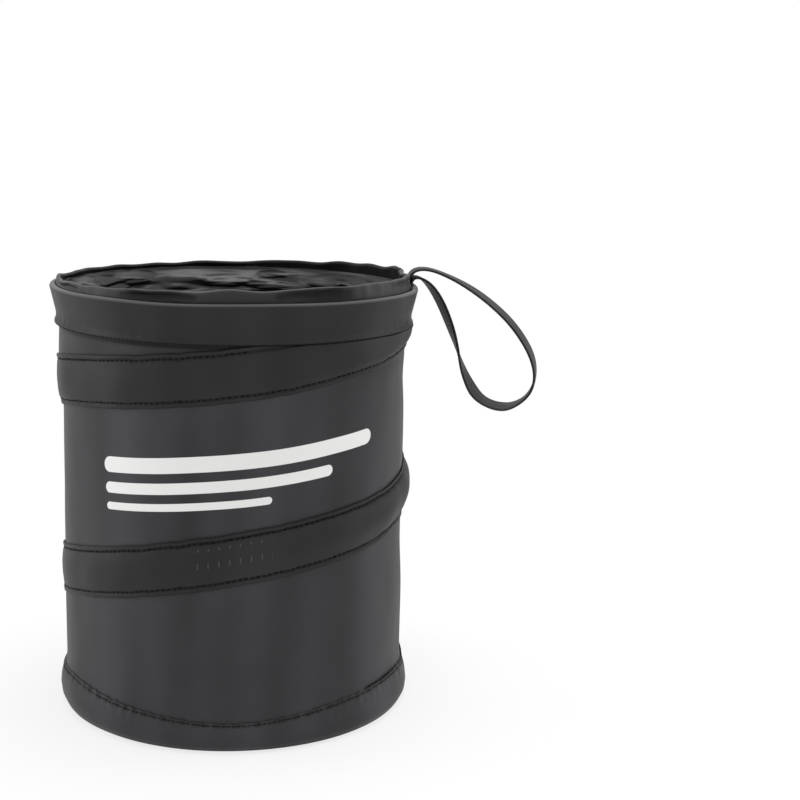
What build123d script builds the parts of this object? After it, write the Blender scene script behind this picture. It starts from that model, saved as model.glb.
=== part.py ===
from build123d import *

import math
import os

# Collapsible car bin: a cloth tube held open by a coiled flat spring, with a folded liner and a hang loop.
# Millimetres. The origin is the centre of the base, +Z is up, the front is -Y and the hang loop is at +X.

# Cloth
cloth = 0.6  # coated cloth of the wall, bands and sleeve
liner_cloth = 0.4
lap_gap = 0.15  # between layers that are sewn together
travel_gap = 0.3  # between the rim and the cloth that it comes down over
panels = 44  # the cloth's rings and sleeve are made of flat panels, so many to a turn

# Wall and rim
wall_radius = 80.2  # outside
rim_height = 200.0  # top fold of the rim band
rim_radius = 85.8  # outside of the rim band at its top fold
rim_band_width = 17.8
rim_seam_radius = 83.7  # outside of the rim band at its lower edge
rim_pinch = 0.5  # the band draws in by this much above its seam
rim_pinch_height = 3.8
rim_fold = 3.1  # across the top fold
rim_lip = 2.5  # the fold's inner edge reaches this far down
wall_tuck = 5.8  # the wall runs this far up inside the rim band

# Foot
foot_band_height = 16.0
foot_profile = [  # height up the band, and how far it stands out beyond its lower edge
    (0.0, 0.0),
    (3.2, 2.6),
    (7.5, 3.6),
    (12.2, 2.9),
    (foot_band_height, 1.1),
]

# Spring: flat steel strip, standing on edge
spring_width = 4.0
spring_thickness = 0.7
rim_coil_depth = 5.0  # from the rim's top to the middle of the top turn
foot_coil_height = 7.0
rim_coil_start = -1.02  # turns, counted clockwise from +X, seen from above
foot_coil_end = 2.98
coil_course = [  # turn, and share of the rise from the foot coil to the rim coil
    (-0.22, 1.0),
    (-0.1, 0.989),
    (0.0, 0.961),
    (0.1, 0.925),
    (0.25, 0.868),
    (0.5, 0.785),
    (1.0, 0.527),
    (1.25, 0.436),
    (1.5, 0.300),
    (1.75, 0.154),
    (2.0, 0.027),
    (2.2, 0.0),
]
stations_per_turn = 16  # along the spring's edges, which are smooth

# Sleeve over the spring
sleeve_width = 21.0
sleeve_bulge = 2.6  # from the wall to the inside of the sleeve
sleeve_hem = 2.5  # sewn flat along each edge
sleeve_sides = 5  # panels across the arch, outside
channel_sides = 3  # and inside
sleeve_start = -0.0625  # turns
sleeve_end = 2.104

# Liner
liner_ease = 0.5  # between the wall and the liner
fold_count = 18  # creases round the liner
fold_rows = 10
fold_depth = 3.6  # every other row of corners is drawn in
gather_count = 11  # round the hem
gather_depth = 0.8
hem_depth = 9.0  # the hem reaches this far below the rim's top
hem_room = 1.0  # between the rim band's fold and the hem
hem_thickness = 3.3
hem_profile = [  # height above the rim, how far it stands out, and share of the gathers' depth
    (0.15, 0.0, 0.0),
    (0.7, 1.1, 0.5),
    (2.5, 1.4, 1.0),
    (4.5, -0.2, 1.0),
]

# Hang loop: a flat strap whose two tails are sewn in beside the hem
strap_width = 10.0
strap_thickness = 1.2
strap_route = [  # x and z of the strap's middle, from the inner tail out and round to the outer tail
    (80.35, 191.5),
    (80.6, 204.6),
    (89.0, 208.6),
    (105.5, 203.2),
    (121.5, 194.2),
    (136.5, 180.6),
    (146.6, 162.5),
    (145.2, 146.4),
    (132.0, 138.2),
    (117.6, 143.2),
    (109.8, 157.0),
    (105.4, 175.0),
    (97.5, 194.0),
    (89.0, 203.6),
    (81.75, 203.4),
    (81.75, 191.5),
]
strap_bend_share = 0.45  # share of the shorter run that each bend takes up

# Sizes that follow
flat = math.cos(math.pi / panels)  # a panel's middle lies this share of its corners' radius out
wall_inside = wall_radius - cloth
rim_seam_height = rim_height - rim_band_width
rim_inside = rim_radius - rim_fold
rim_fold_height = rim_height - rim_fold / 2
pinch_radius = rim_seam_radius - rim_pinch
pinch_height = rim_seam_height + rim_pinch_height
wall_height = rim_seam_height + wall_tuck
foot_radius = wall_radius + lap_gap + cloth
liner_radius = wall_inside - liner_ease
liner_floor_height = cloth + lap_gap
liner_foot = liner_floor_height + liner_cloth + lap_gap
hem_outside = rim_inside - hem_room
hem_inside = hem_outside - hem_thickness
hem_bottom = rim_height - hem_depth
hem_top = rim_height + hem_profile[-1][0]
liner_top = hem_bottom - travel_gap
rim_coil_height = rim_height - rim_coil_depth


def coil_height(turn):
    """Height of the coil's middle line: smooth between the stations of its course, level beyond them."""
    turns = [station[0] for station in coil_course]
    rise = rim_coil_height - foot_coil_height
    heights = [foot_coil_height + rise * station[1] for station in coil_course]
    if turn <= turns[0]:
        return heights[0]
    if turn >= turns[-1]:
        return heights[-1]
    slopes = [0.0]
    for i in range(1, len(turns) - 1):
        slopes.append((heights[i + 1] - heights[i - 1]) / (turns[i + 1] - turns[i - 1]))
    slopes.append(0.0)
    i = max(k for k in range(len(turns) - 1) if turns[k] <= turn)
    span = turns[i + 1] - turns[i]
    t = (turn - turns[i]) / span
    leaving = heights[i] * (1 + 2 * t) + slopes[i] * span * t
    arriving = heights[i + 1] * (3 - 2 * t) - slopes[i + 1] * span * (1 - t)
    return leaving * (1 - t) ** 2 + arriving * t**2


def spring_radius(height):
    """The spring hugs the wall in the foot, fills the sleeve above it and flares with the rim band."""
    in_foot = wall_radius + lap_gap + spring_thickness / 2
    in_sleeve = (pinch_radius - cloth) * flat - lap_gap - spring_thickness / 2
    above_foot = (height - foot_band_height - spring_width) / (2 * spring_width)
    ease = min(max(above_foot, 0.0), 1.0)
    flare = (rim_radius - pinch_radius) / (rim_fold_height - pinch_height)
    tighter_edge = height - math.copysign(spring_width / 2, flare)
    above_pinch = max(tighter_edge - pinch_height, 0.0)
    return in_foot + ease * (in_sleeve - in_foot) + flare * above_pinch


def coil_point(turn, radius, height):
    """A point on the coil's side, turning clockwise from +X, seen from above."""
    return Vector(radius, 0, height).rotate(Axis.Z, -360 * turn)


def spring_line(outward, up):
    """The smooth line that one corner of the spring's section draws along the coil."""
    steps = math.ceil((foot_coil_end - rim_coil_start) * stations_per_turn)
    points = []
    for i in range(steps + 1):
        turn = rim_coil_start + (foot_coil_end - rim_coil_start) * i / steps
        height = coil_height(turn)
        points.append(coil_point(turn, spring_radius(height) + outward, height + up))
    return Edge.make_spline(points)


def sleeve_line(outward, up):
    """The line of one corner of the sleeve's section, with a point at each of the wall's corners."""
    points = []
    for i in range(round(sleeve_start * panels), round(sleeve_end * panels) + 1):
        turn = i / panels
        points.append(coil_point(turn, wall_radius + lap_gap + outward, coil_height(turn) + up))
    return Wire.make_polygon(points, close=False)


def ring_line(radius, height, gather=0.0):
    """A level polygon round the bin, drawn in between its gathers by the given depth."""
    points = []
    for i in range(panels):
        drawn_in = gather * (1 - math.cos(2 * math.pi * gather_count * i / panels)) / 2
        points.append(coil_point(i / panels, radius - drawn_in, height))
    return Wire.make_polygon(points, close=True)


def skin(lines):
    """Faces that join each line to the next, and the last to the first."""
    faces = []
    for line, following in zip(lines, lines[1:] + lines[:1]):
        faces += Face.make_surface_from_curves(line, following).faces()
    return faces


def strip(lines):
    """A solid between lines that run side by side, closed by a flat face at each end."""
    ends = [Face(Wire.make_polygon([line @ end for line in lines])) for end in (0, 1)]
    return Solid(Shell(skin(lines) + ends))


def ring(section):
    """A solid ring whose section is a loop of corners: radius, height and perhaps gather depth."""
    return Solid(Shell(skin([ring_line(*corner) for corner in section])))


def arch(half_width, rise, sides):
    """Corners of a shallow arch, from its upper edge to its lower one, as (outward, up)."""
    corners = []
    for i in range(sides + 1):
        across = 1 - 2 * i / sides
        corners.append((rise * (1 - across**2), half_width * across))
    return corners


def folded_tube(radius, foot, top):
    """Faces of a tube of cloth that is creased into rows of triangles, half a crease apart."""
    rows = []
    for row in range(fold_rows + 1):
        height = foot + (top - foot) * row / fold_rows
        reach = radius - fold_depth * (row % 2)
        turns = [(i + row % 2 / 2) / fold_count for i in range(fold_count)]
        rows.append([coil_point(turn, reach, height) for turn in turns])
    faces = []
    for row in range(fold_rows):
        even, odd = (rows[row], rows[row + 1]) if row % 2 == 0 else (rows[row + 1], rows[row])
        for i in range(fold_count):
            following = (i + 1) % fold_count
            faces.append(Face(Wire.make_polygon([even[i], even[following], odd[i]])))
            faces.append(Face(Wire.make_polygon([odd[i], odd[following], even[following]])))
    return faces, rows[0], rows[-1]


# Outer bottom panel
with BuildPart() as base_disc:
    with BuildSketch():
        RegularPolygon(wall_inside - lap_gap, panels)
    extrude(amount=cloth)

# Wall: a plain tube of cloth
with BuildPart() as outer_wall:
    wall_section = [
        (wall_radius, 0),
        (wall_radius, wall_height),
        (wall_inside, wall_height),
        (wall_inside, 0),
    ]
    add(ring(wall_section))

# Foot band: bulges out round the spring's lowest turn
with BuildPart() as bottom_band:
    foot_outside = [(foot_radius + outward, up) for up, outward in foot_profile]
    foot_inside = [(radius - cloth, height) for radius, height in reversed(foot_outside)]
    add(ring(foot_outside + foot_inside))

# Spring: a flat strip that stands on edge all along its coil
with BuildPart() as spring:
    half_thickness = spring_thickness / 2
    half_width = spring_width / 2
    spring_section = [
        (-half_thickness, half_width),
        (-half_thickness, -half_width),
        (half_thickness, -half_width),
        (half_thickness, half_width),
    ]
    add(strip([spring_line(*corner) for corner in spring_section]))

# Sleeve: a cloth strip, sewn flat to the wall along both edges, that arches over the spring
with BuildPart() as spring_sleeve:
    edge = sleeve_width / 2
    crest = sleeve_bulge - lap_gap
    channel = arch(edge - sleeve_hem, crest, channel_sides)
    outer_arch = [(cloth + outward, up) for outward, up in arch(edge, crest, sleeve_sides)]
    sleeve_section = [(0, edge), *channel, (0, -edge), *reversed(outer_arch)]
    add(strip([sleeve_line(*corner) for corner in sleeve_section]))
    split(bisect_by=Plane.XY.offset(rim_seam_height - travel_gap), keep=Keep.BOTTOM)
    split(bisect_by=Plane.XY.offset(foot_band_height + lap_gap), keep=Keep.TOP)

# Liner: a bag of thin cloth that is longer than the wall, so that it lies in folds
with BuildPart() as liner_floor:
    with BuildSketch(Plane.XY.offset(liner_floor_height)):
        RegularPolygon(liner_radius, panels)
    extrude(amount=liner_cloth)

with BuildPart() as liner:
    outside, outer_foot, outer_top = folded_tube(liner_radius, liner_foot, liner_top)
    inside, inner_foot, inner_top = folded_tube(liner_radius - liner_cloth, liner_foot, liner_top)
    edges = []
    for outer, inner in ((outer_foot, inner_foot), (outer_top, inner_top)):
        rim = Face(Wire.make_polygon(outer), [Wire.make_polygon(inner)])
        edges.append(rim)
    add(Solid(Shell(outside + inside + edges)))

# Rim band: flared cloth, drawn in above its seam and folded over above the spring's top turn
with BuildPart() as rim_band:
    lip_height = rim_height - rim_lip
    rim_section = [
        (rim_seam_radius, rim_seam_height),
        (pinch_radius, pinch_height),
        (rim_radius, rim_fold_height),
        (rim_radius - rim_fold / 3, rim_height),
        (rim_inside + rim_fold / 3, rim_height),
        (rim_inside, rim_fold_height),
        (rim_inside, lip_height),
        (rim_inside + cloth, lip_height),
        (rim_inside + cloth, rim_fold_height),
        (rim_inside + rim_fold / 2, rim_height - cloth),
        (rim_radius - cloth, rim_fold_height),
        (pinch_radius - cloth, pinch_height),
        (rim_seam_radius - cloth, rim_seam_height),
    ]
    add(ring(rim_section))

# Hem: the liner's rolled and gathered edge, notched where the strap's tails come up beside it
with BuildPart() as liner_hem:
    hem_section = [(hem_outside, hem_bottom)]
    for up, outward, share in hem_profile:
        hem_section.append((hem_outside + outward, rim_height + up, share * gather_depth))
    hem_section.append((hem_inside, hem_top, gather_depth))
    hem_section.append((hem_inside, hem_bottom))
    add(ring(hem_section))
    inner_tail = strap_route[0][0] - strap_thickness / 2
    loop_reach = max(x for x, z in strap_route)
    with Locations((inner_tail - lap_gap, 0, hem_bottom)):
        Box(
            loop_reach - inner_tail,
            strap_width + 2 * lap_gap,
            2 * (hem_top - hem_bottom),
            align=(Align.MIN, Align.CENTER, Align.CENTER),
            mode=Mode.SUBTRACT,
        )

# Hang loop: a strap laid on edge along its route
strap_radii = []
for before, corner, after in zip(strap_route, strap_route[1:], strap_route[2:]):
    arriving = Vector(corner) - Vector(before)
    leaving = Vector(after) - Vector(corner)
    half_turn = math.radians(arriving.get_angle(leaving) / 2)
    strap_radii.append(strap_bend_share * min(arriving.length, leaving.length) / math.tan(half_turn))
with BuildPart() as hang_loop:
    with BuildSketch(Plane.XZ):
        with BuildLine() as strap_line:
            FilletPolyline(*strap_route, radius=strap_radii)
        trace(strap_line.line, strap_thickness)
    extrude(amount=strap_width / 2, both=True)
strap_length = sum(edge.length for edge in strap_line.edges())
print("strap length", round(strap_length, 1), "bend radii", [round(radius, 1) for radius in strap_radii])
print("strap volume", round(hang_loop.part.volume), round(strap_length * strap_width * strap_thickness))

pieces = {
    "base_disc": base_disc,
    "outer_wall": outer_wall,
    "bottom_band": bottom_band,
    "spring": spring,
    "spring_sleeve": spring_sleeve,
    "liner_floor": liner_floor,
    "liner": liner,
    "rim_band": rim_band,
    "liner_hem": liner_hem,
    "hang_loop": hang_loop,
}
os.makedirs("parts", exist_ok=True)
for name, piece in pieces.items():
    piece.part.label = name
    export_step(piece.part, f"parts/{name}.step")
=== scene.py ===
# %% [markdown]
# # A pop-up bin of coated cloth
# A flat steel spring is sewn into a sleeve that winds round a cloth tube, so the bin springs open and can
# be pressed flat. The packed CAD model gives the place and the size of each piece. Its solids could
# simply be painted, but sewn cloth has welts, puckers and folds that only geometry shows. So each piece
# is made again here, in the place that its solid holds. Shapes are worked out in millimetres and handed
# over in metres.

# %% Frame
import math
from types import SimpleNamespace

import bmesh
import bpy
import numpy as np
from mathutils import Matrix, Vector


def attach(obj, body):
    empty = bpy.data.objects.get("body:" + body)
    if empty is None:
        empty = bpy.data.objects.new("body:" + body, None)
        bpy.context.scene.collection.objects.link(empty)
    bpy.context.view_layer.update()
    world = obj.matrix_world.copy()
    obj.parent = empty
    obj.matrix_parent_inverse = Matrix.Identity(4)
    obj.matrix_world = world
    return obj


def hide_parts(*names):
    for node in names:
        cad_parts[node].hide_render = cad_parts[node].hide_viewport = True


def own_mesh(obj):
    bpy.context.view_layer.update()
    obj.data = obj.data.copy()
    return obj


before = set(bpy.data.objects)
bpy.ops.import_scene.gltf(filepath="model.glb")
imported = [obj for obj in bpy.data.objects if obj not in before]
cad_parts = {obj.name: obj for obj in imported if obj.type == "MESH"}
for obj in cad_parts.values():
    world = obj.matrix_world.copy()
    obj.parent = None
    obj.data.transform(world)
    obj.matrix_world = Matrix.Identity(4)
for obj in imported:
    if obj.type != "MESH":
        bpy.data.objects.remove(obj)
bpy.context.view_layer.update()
scene = bpy.context.scene
scene.view_settings.view_transform = "Standard"
MM = 0.001

# %% [markdown]
# ## Camera
# The photograph was taken from a little above the rim with a short telephoto lens, turned slightly to the
# right and tipped by a degree or so. A camera could be aimed with a Track To constraint, but that always
# holds it level. Here its matrix is built from yaw, pitch and roll instead. It has no lens shift, so the
# view still works when the camera is moved round the bin.

# %% Camera
yaw, pitch, roll = 0.1134, 0.1876, 0.0241
camera_place = (0, -0.69537, 0.27636)
lens_mm, sensor_mm = 66.0, 36
forward = Vector((math.sin(yaw) * math.cos(pitch), math.cos(yaw) * math.cos(pitch), -math.sin(pitch)))
level_right = Vector((math.cos(yaw), -math.sin(yaw), 0))
level_up = level_right.cross(forward)
right = math.cos(roll) * level_right + math.sin(roll) * level_up
up = math.cos(roll) * level_up - math.sin(roll) * level_right

camera_data = bpy.data.cameras.new("camera")
camera_data.sensor_width = sensor_mm
camera_data.lens = lens_mm
camera = bpy.data.objects.new("camera", camera_data)
scene.collection.objects.link(camera)
camera.matrix_world = Matrix((right, up, -forward)).transposed().to_4x4()
camera.location = camera_place
scene.camera = camera
print("camera at", [round(x, 3) for x in camera.location])

# %% [markdown]
# ## Shader arithmetic
# A cloth finish is a sum of patterns: threads, clouds of colour, rubbed edges. Its nodes could be placed
# and linked one by one, but a long chain of Math nodes is hard to read and to change. So this small class
# wraps one socket of a node tree. Its operators add Math nodes, `between` mixes two colours, and `node`
# adds any other node, its settings first and the values or links of its sockets after them.

# %% Shader arithmetic
class Pattern:
    """One socket of a node tree, with arithmetic."""

    def __init__(self, tree, socket=None):
        self.tree = tree
        self.socket = socket

    def node(self, kind, settings=None, inputs=None, output=0):
        """A new node, as a pattern of one of its outputs."""
        made = self.tree.nodes.new(kind)
        for name, value in (settings or {}).items():
            setattr(made, name, value)
        for name, value in (inputs or {}).items():
            if isinstance(value, Pattern):
                self.tree.links.new(value.socket, made.inputs[name])
            else:
                made.inputs[name].default_value = value
        return Pattern(self.tree, made.outputs[output])

    def beside(self, output):
        """Another output of the node that this pattern comes from."""
        return Pattern(self.tree, self.socket.node.outputs[output])

    def math(self, operation, other=0.0, clamp=False):
        """A Math node on this pattern and a second value."""
        settings = {"operation": operation, "use_clamp": clamp}
        return self.node("ShaderNodeMath", settings, {0: self, 1: other})

    def __add__(self, other):
        return self.math("ADD", other)

    __radd__ = __add__

    def __mul__(self, other):
        return self.math("MULTIPLY", other)

    __rmul__ = __mul__

    def __sub__(self, other):
        return self.math("SUBTRACT", other)

    def __rsub__(self, other):
        return self.node("ShaderNodeMath", {"operation": "SUBTRACT"}, {0: other, 1: self})

    def __abs__(self):
        return self.math("ABSOLUTE")

    def kept(self):
        """The value, held between 0 and 1."""
        return self.math("ADD", 0.0, clamp=True)

    def between(self, first, second):
        """A colour on the way from the first, at 0, to the second, at 1."""
        return self.node("ShaderNodeMix", {"data_type": "RGBA"}, {0: self, 6: first, 7: second}, output=2)


print("a pattern can do", [name for name in vars(Pattern) if not name.startswith("_")])

# %% [markdown]
# ## Empty finishes
# Every finish of the bin starts from Blender's Principled shader. Its patterns could be drawn in the
# object's own space, but there they would cut straight through the cloth. They are drawn in a UV map
# named `cloth` instead, which holds millimetres along and across each piece, so that threads and print
# follow every bend.

# %% Empty finishes
def new_finish(name, roughness, gloss):
    """A material with its shader, a brush that adds nodes, and places along and across the cloth."""
    material = bpy.data.materials.new(name)
    material.use_nodes = True
    shader = material.node_tree.nodes["Principled BSDF"]
    shader.inputs["Roughness"].default_value = roughness
    shader.inputs["Specular IOR Level"].default_value = gloss
    brush = Pattern(material.node_tree)
    place = brush.node("ShaderNodeUVMap", {"uv_map": "cloth"})
    along = brush.node("ShaderNodeSeparateXYZ", None, {0: place})
    return SimpleNamespace(
        material=material, shader=shader, brush=brush, place=place, along=along, across=along.beside(1)
    )


def feed(finish, name, pattern):
    """Links a pattern to one input of a finish's shader."""
    finish.brush.tree.links.new(pattern.socket, finish.shader.inputs[name])


def noise(finish, vector, scale, detail):
    """Soft noise over the cloth, about 0 to 1."""
    inputs = {"Vector": vector, "Scale": scale, "Detail": detail}
    return finish.brush.node("ShaderNodeTexNoise", None, inputs)


print("finishes start from a Principled shader")

# %% [markdown]
# ## Woven cloth
# The shell is a charcoal coated cloth: smooth from a step away, with a fine plain weave up close. A
# picture of cloth could be wrapped round the bin, but it would blur up close. Here two crossed waves make
# the threads, noise makes the clouds, and noise drawn out upright paints soft upright streaks of sheen.
# Each piece also carries a value of painted light on its points: above 0 it paints shade into the colour,
# in grooves, hollows and under edges, and below 0 it paints a paler tone, a painted highlight on folds,
# edges and sides.

# %% Woven cloth
# painted light: a pale tone for painted highlights and a near black for painted shade
pale_highlight_tone = (0.12, 0.12, 0.125, 1)
painted_shade_tone = (0.003, 0.003, 0.003, 1)
sheen_streak_share, cloud_share, grain_share = 2.4, 0.6, 0.4
deepest_painted_shade, gloss_change, thread_share = 0.85, 0.16, 0.7


def weave(finish, pitch):
    """Height of a plain weave, 0 to 1: two crossed sets of threads."""
    turn = 2 * math.pi / pitch
    warp = (finish.along * turn).math("SINE")
    weft = (finish.across * turn).math("SINE")
    return warp * weft * 0.5 + 0.5


def cloth_finish(name, dark, light, roughness, gloss, pitch, relief):
    """A woven finish between two tones, with painted upright sheen, painted shade and painted highlights.
    """
    finish = new_finish(name, roughness, gloss)
    brush = finish.brush
    clouds = noise(finish, finish.place, 0.035, 3.0)
    # noise drawn out upright paints soft upright streaks of sheen into the colour
    upright = brush.node("ShaderNodeCombineXYZ", None, {0: finish.along, 1: finish.across * 0.12})
    sheen_streaks = noise(finish, upright, 0.03, 1.0)
    grain = noise(finish, finish.place, 1.4, 2.0)
    # the value of painted light on each point: above 0 painted shade, below 0 painted highlight
    crease = brush.node("ShaderNodeAttribute", {"attribute_name": "crease"}, output=2)
    uneven = (sheen_streaks - 0.5) * sheen_streak_share + (clouds - 0.5) * cloud_share + (grain - 0.5) * grain_share
    shade = (uneven + 0.5).kept()
    with_painted_highlights = (crease * -1.0).kept().between(shade.between(dark, light), pale_highlight_tone)
    finish.colour = (1 - crease * deepest_painted_shade).kept().between(painted_shade_tone, with_painted_highlights)
    feed(finish, "Base Color", finish.colour)
    feed(finish, "Roughness", (clouds * gloss_change + (roughness - gloss_change / 2)).kept())
    threads = weave(finish, pitch) * thread_share + grain * (1 - thread_share)
    depth = {"Strength": 0.35, "Distance": relief * MM, "Height": threads}
    feed(finish, "Normal", brush.node("ShaderNodeBump", None, depth))
    return finish


print("creases go from", pale_highlight_tone[0], "to", painted_shade_tone[0])

# %% [markdown]
# ## Cloth tones
# The bin is sewn from a few black and charcoal cloths: a coated shell, which is lighter on the wall and
# the foot than on the bands, a thin satin for the lining, a duller one for its hem, and woven tape. One
# flat grey each would do from far off. Two tones for each cloth let its painted upright streaks of sheen
# and its clouds show, and all of them share the same faint blue.

# %% Cloth tones
def charcoal(level):
    """A grey with a faint blue."""
    return (level, level, 1.085 * level, 1)


wall_tones = charcoal(0.022), charcoal(0.054)
band_tones = charcoal(0.013), charcoal(0.025)
satin_tones = charcoal(0.006), charcoal(0.013)
hem_tones = charcoal(0.010), charcoal(0.019)
tape_tones = charcoal(0.008), charcoal(0.028)
coated = {"roughness": 0.52, "gloss": 0.2, "pitch": 0.55, "relief": 0.05}
satin = {"pitch": 0.35, "relief": 0.03}
shell_cloth = cloth_finish("shell_cloth", *band_tones, **coated)
foot_cloth = cloth_finish("foot_cloth", *wall_tones, **coated)
hem_satin = cloth_finish("hem_satin", *hem_tones, roughness=0.45, gloss=0.16, **satin)
liner_cloth = cloth_finish("liner_cloth", *satin_tones, roughness=0.33, gloss=0.38, **satin)
webbing = cloth_finish("strap_webbing", *tape_tones, roughness=0.5, gloss=0.2, pitch=0.9, relief=0.12)
cloths = (shell_cloth, foot_cloth, hem_satin, liner_cloth, webbing)
print("cloths", [finish.material.name for finish in cloths])

# %% [markdown]
# ## Printed front
# The front carries a plain print: three white bars with round ends, which rise to the right with the
# coil. They could be flat meshes laid on the wall, but print has no thickness and would flicker against
# the cloth. Each bar is painted as the distance to a line, in the cloth's own millimetres, so it bends
# with the wall and stays sharp.

# %% Printed front
def bar(along, across, first, last, height, thickness):
    """1 inside a bar with round ends, which lies along the cloth at that height."""
    middle, half = (first + last) / 2, (last - first) / 2
    past_end = (abs(along - middle) - half).math("MAXIMUM", 0.0)
    off_line = across - height
    distance = (past_end * past_end + off_line * off_line).math("SQRT")
    sharpness = 6
    return ((thickness / 2 - distance) * sharpness + 0.5).kept()


printed_cloth = cloth_finish("printed_cloth", *wall_tones, **coated)
white_ink = (0.86, 0.86, 0.85, 1)
slope, bars_left = 0.095, 186
bar_sizes = [(62, 143.5, 7.0), (84, 133.2, 5.0), (112, 124.9, 3.4)]
level = printed_cloth.across + printed_cloth.along * slope
bars = [bar(printed_cloth.along, level, start, bars_left, *size) for start, *size in bar_sizes]
ink = bars[0].math("MAXIMUM", bars[1]).math("MAXIMUM", bars[2])
feed(printed_cloth, "Base Color", ink.between(printed_cloth.colour, white_ink))
print("print of", len(bars), "bars")

# %% [markdown]
# ## Pale ticks
# Where the second turn of the coil crosses the front, two short rows of pale dots and ticks show on the
# sleeve. Each mark could be a mesh of its own, but they are tiny. So one mark is painted in a length that
# starts again and again along the strip, and a window keeps only those at the front.

# %% Pale ticks
sleeve_finish = cloth_finish("sleeve_cloth", *band_tones, **coated)
mark_tone = (0.1, 0.1, 0.105, 1)
mark_pitch, window_middle, window_half = 4.5, 631.0, 17.0
in_mark = ((sleeve_finish.along * (1 / mark_pitch)).math("FRACT") - 0.5) * mark_pitch
dots = bar(sleeve_finish.across, in_mark, 5.5, 6.0, 0.0, 0.6)
ticks = bar(sleeve_finish.across, in_mark, 11.4, 13.8, 0.0, 0.5)
window = (window_half - abs(sleeve_finish.along - window_middle)).kept()
# pale dots and ticks, painted on the sleeve at the front only
marks = dots.math("MAXIMUM", ticks) * window * 0.45
feed(sleeve_finish, "Base Color", marks.between(sleeve_finish.colour, mark_tone))
print("needle marks", round(2 * window_half / mark_pitch), "in each row")

# %% [markdown]
# ## Thread
# The seams are sewn with black thread, which is twisted, so light and dark change along each stitch. A
# spiral could be modelled, but a stitch is half a millimetre thick. Fine noise between two blacks is
# enough at that size.

# %% Thread
thread = new_finish("thread", 0.6, 0.12)
# painted light and shade of the twist, as fine noise between two blacks
painted_twist_shade = noise(thread, thread.place, 2.0, 2.0)
feed(thread, "Base Color", painted_twist_shade.between((0.003, 0.003, 0.0033, 1), (0.008, 0.008, 0.0086, 1)))
print("thread", thread.material.name)

# %% [markdown]
# ## Spring steel
# The spring is bare strip steel with fine rolling marks along its length. It is hidden in the sleeve, so
# plain grey metal might do. It gets its marks all the same, for whoever opens the bin up: noise that is
# drawn out along the strip changes both its colour and its roughness.

# %% Spring steel
spring_steel = new_finish("spring_steel", 0.3, 0.5)
spring_steel.shader.inputs["Metallic"].default_value = 1.0
drawn_out = {0: spring_steel.along * 0.02, 1: spring_steel.across * 9.0}
lengthwise = spring_steel.brush.node("ShaderNodeCombineXYZ", None, drawn_out)
rolling = noise(spring_steel, lengthwise, 1.0, 3.0)
feed(spring_steel, "Base Color", rolling.between((0.3, 0.3, 0.31, 1), (0.5, 0.5, 0.51, 1)))
feed(spring_steel, "Roughness", (rolling * 0.2 + 0.22).kept())
print("steel", spring_steel.material.name)

# %% [markdown]
# ## Pieces
# Each piece of the real bin becomes one object with one mesh. The faces of a computed mesh may point in
# or out, and light falls wrongly on those that point in. They could be flipped by hand in Edit Mode. A
# script does it with the bmesh module, which turns all faces outwards, and then shades the piece smooth,
# as cloth is.

# %% Pieces
def make_piece(name, mesh):
    """A smooth object from a mesh, with its faces turned outwards."""
    turned = bmesh.new()
    turned.from_mesh(mesh)
    bmesh.ops.recalc_face_normals(turned, faces=turned.faces)
    turned.to_mesh(mesh)
    turned.free()
    mesh.shade_smooth()
    piece = bpy.data.objects.new(name, mesh)
    scene.collection.objects.link(piece)
    return piece


print("pieces take the place of", len(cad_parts), "solids")

# %% [markdown]
# ## Skins
# Every sewn piece of the bin is a thin closed body: a loop of points, its section, which is carried round
# the bin or along the coil. A Screw modifier or a bevelled curve could carry it, but both keep one
# section all the way. Cloth changes from one station to the next, so here the points come as a table with
# a row for each station. The faces between the rows are made all at once. Then `foreach_set` writes the
# cloth's own millimetres as the UV map and the values of painted light and shade as an attribute, each in
# one go, which is much faster than a loop.

# %% Skins
def skin(name, points, along, across, ring, crease=0.0):
    """A closed skin over a table of points in metres, as a ring or with two flat ends."""
    stations, corners = points.shape[:2]
    runs = stations if ring else stations - 1
    i, j = np.meshgrid(np.arange(runs), np.arange(corners), indexing="ij")
    quad_steps = ((0, 0), (1, 0), (1, 1), (0, 1))
    quads = np.stack([(i + a) % stations * corners + (j + b) % corners for a, b in quad_steps], axis=2)
    faces = quads.reshape(-1, 4).tolist()
    if not ring:
        first_end = list(range(corners))
        last_end = [(stations - 1) * corners + corner for corner in range(corners)]
        faces += [first_end, last_end[::-1]]
    mesh = bpy.data.meshes.new(name)
    mesh.from_pydata(points.reshape(-1, 3).tolist(), [], faces)
    on_cloth = np.zeros((len(mesh.loops), 2))
    corner_places = [np.stack([along[i + a], across[j + b]], axis=2) for a, b in quad_steps]
    on_cloth[: quads.size] = np.stack(corner_places, axis=2).reshape(-1, 2)
    mesh.uv_layers.new(name="cloth").data.foreach_set("uv", on_cloth.ravel())
    # values of painted light: above 0 painted shade, below 0 painted highlight
    values = np.broadcast_to(crease, (stations, corners)).astype(np.float32).ravel()
    mesh.attributes.new("crease", "FLOAT", "POINT").data.foreach_set("value", values)
    return make_piece(name, mesh)


print("skins carry the layers cloth and crease")

# %% [markdown]
# ## Seats
# On the real bin each piece is sewn either to the rim or to the base, and moves with it. An object could
# be parented by hand, but then nothing would tie it to the packed model. This helper gives a piece its
# finish, seats it on its body, and hides the solids that it stands for.

# %% Seats
def seat(piece, body, slot, finish, *nodes):
    """The piece moves with a body, takes a finish and stands for its solids."""
    piece.data.materials.append(finish.material)
    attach(piece, body)
    if nodes:
        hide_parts(*nodes)
    return piece


# %% [markdown]
# ## The hang loop's line
# A flat strap leaves the rim, hangs out to the side as a loop and goes back in beside its own start. Its
# middle line could be a Bezier curve, but there every point has two handles to balance. A NURBS curve is
# soft by itself and needs only its control points: the strap's route in the solid model, moved by a
# millimetre or two so that it hangs as in the photograph. With Endpoint U it reaches its first and last
# point. Blender turns the curve into a mesh, whose vertices are read as a row of points, and then the
# curve is removed.

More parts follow.
